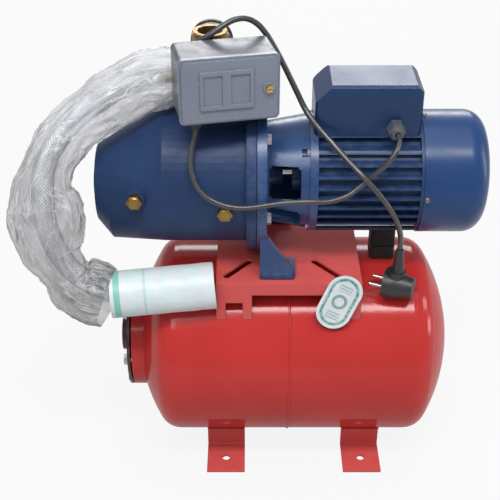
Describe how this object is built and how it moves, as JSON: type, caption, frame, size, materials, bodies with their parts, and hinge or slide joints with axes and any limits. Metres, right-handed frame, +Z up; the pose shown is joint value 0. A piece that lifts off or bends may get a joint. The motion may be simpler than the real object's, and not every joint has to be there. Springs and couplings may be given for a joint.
{
  "type": "booster pump set with pressure tank",
  "caption": "Jet pump and motor on a horizontal pressure tank, with pressure switch, gauge and braided hose on a brass multi-way fitting.",
  "frame": {"origin": "centre of the four foot holes, on the floor under the tank", "axes": "+X along the tank and the motor shaft towards the fan end, +Y to the back, away from the gauge and switch side that the hose hangs on, +Z up"},
  "size_m": [0.5889, 0.2732, 0.6234],
  "materials": {
    "tank_paint": "gloss powder coat",
    "flange_coat": "dark coating with a bright boss",
    "zinc_steel": "zinc plated",
    "pump_paint": "gloss paint over the casting",
    "motor_paint": "gloss paint over the casting",
    "cover_paint": "gloss paint",
    "brass": "machined",
    "yellow_zinc": "yellow zinc",
    "stainless": "bright",
    "core_steel": "laminated",
    "copper_wire": "enamelled wire",
    "white_resin": "moulded",
    "seal_ceramic": "lapped",
    "black_rubber": "moulded",
    "black_plastic": "moulded",
    "blue_plastic": "moulded",
    "grey_plastic": "fine grain",
    "gauge_black": "gloss paint",
    "gauge_clear": "clear",
    "film": "crumpled clear film",
    "paper": "coated",
    "cable_black": "smooth sheath"
  },
  "bodies": {
    "pump_set": {"tank_shell": "tank_paint", "tank_bladder": "black_rubber", "counter_flange": "flange_coat", "flange_bolts": "zinc_steel", "air_valve": "brass", "valve_cap": "black_plastic", "foot_left": "tank_paint", "foot_right": "tank_paint", "platform": "tank_paint", "pump_bolts": "zinc_steel", "pump_casing": "pump_paint", "casing_gasket": "black_rubber", "casing_bolts": "zinc_steel", "brass_plugs": "brass", "ejector": "white_resin", "diffuser": "white_resin", "seal_seat": "seal_ceramic", "motor_bracket": "pump_paint", "bearing_outer_rings": "zinc_steel", "stator_core": "core_steel", "stator_windings": "copper_wire", "motor_frame": "motor_paint", "rear_shield": "motor_paint", "tie_rods": "zinc_steel", "fan_cover": "cover_paint", "motor_screws": "zinc_steel", "terminal_box_base": "blue_plastic", "terminal_box_cover": "blue_plastic", "run_capacitor": "white_resin", "motor_gland": "black_plastic", "motor_foot": "black_rubber", "five_way_fitting": "brass", "switch_body": "grey_plastic", "switch_cover": "grey_plastic", "cover_screw": "yellow_zinc", "range_spring": "zinc_steel", "contact_block": "white_resin", "switch_glands": "black_plastic", "gauge_case": "gauge_black", "gauge_glass": "gauge_clear", "braided_hose": "stainless", "hose_nuts": "brass", "hose_film": "film", "paper_roll": "paper", "mains_cord": "cable_black", "mains_plug": "cable_black", "plug_pins": "brass", "link_cable": "cable_black", "hang_tag": "paper"},
    "rotor": {"shaft": "stainless", "rotor_core": "core_steel", "impeller": "brass", "impeller_nut": "brass", "seal_rotating": "stainless", "bearing_inner_rings": "zinc_steel", "cooling_fan": "black_plastic"},
    "ball_set": {"bearing_balls": "zinc_steel"},
    "pointer": {"gauge_pointer": "gauge_black"},
    "lever": {"switch_lever": "zinc_steel"},
    "plunger": {"switch_plunger": "black_plastic"}
  },
  "joints": [
    {"name": "shaft_turn", "type": "hinge", "parent": "pump_set", "child": "rotor", "pos_m": [0, 0, 0.414], "axis": [1, 0, 0], "continuous": true},
    {"name": "ball_turn", "type": "hinge", "parent": "pump_set", "child": "ball_set", "pos_m": [0, 0, 0.414], "axis": [1, 0, 0], "continuous": true},
    {"name": "pointer_turn", "type": "hinge", "parent": "pump_set", "child": "pointer", "pos_m": [-0.109, 0.046, 0.57], "axis": [0, -1, 0], "range_deg": [0, 270]},
    {"name": "lever_tilt", "type": "hinge", "parent": "pump_set", "child": "lever", "pos_m": [-0.09975, -0.04353, 0.5535], "axis": [0.9781, 0.2079, 0], "range_deg": [0, 4], "stiffness_Nm_per_rad": 10, "deforming": ["range_spring"]},
    {"name": "plunger_slide", "type": "slide", "parent": "pump_set", "child": "plunger", "axis": [0.2079, -0.9781, 0], "range_m": [0, 0.0011]}
  ],
  "couplings": [
    {"joint": "ball_turn", "follows": "shaft_turn", "ratio": 0.388},
    {"joint": "plunger_slide", "follows": "lever_tilt", "m_per_rad": 0.015}
  ]
}
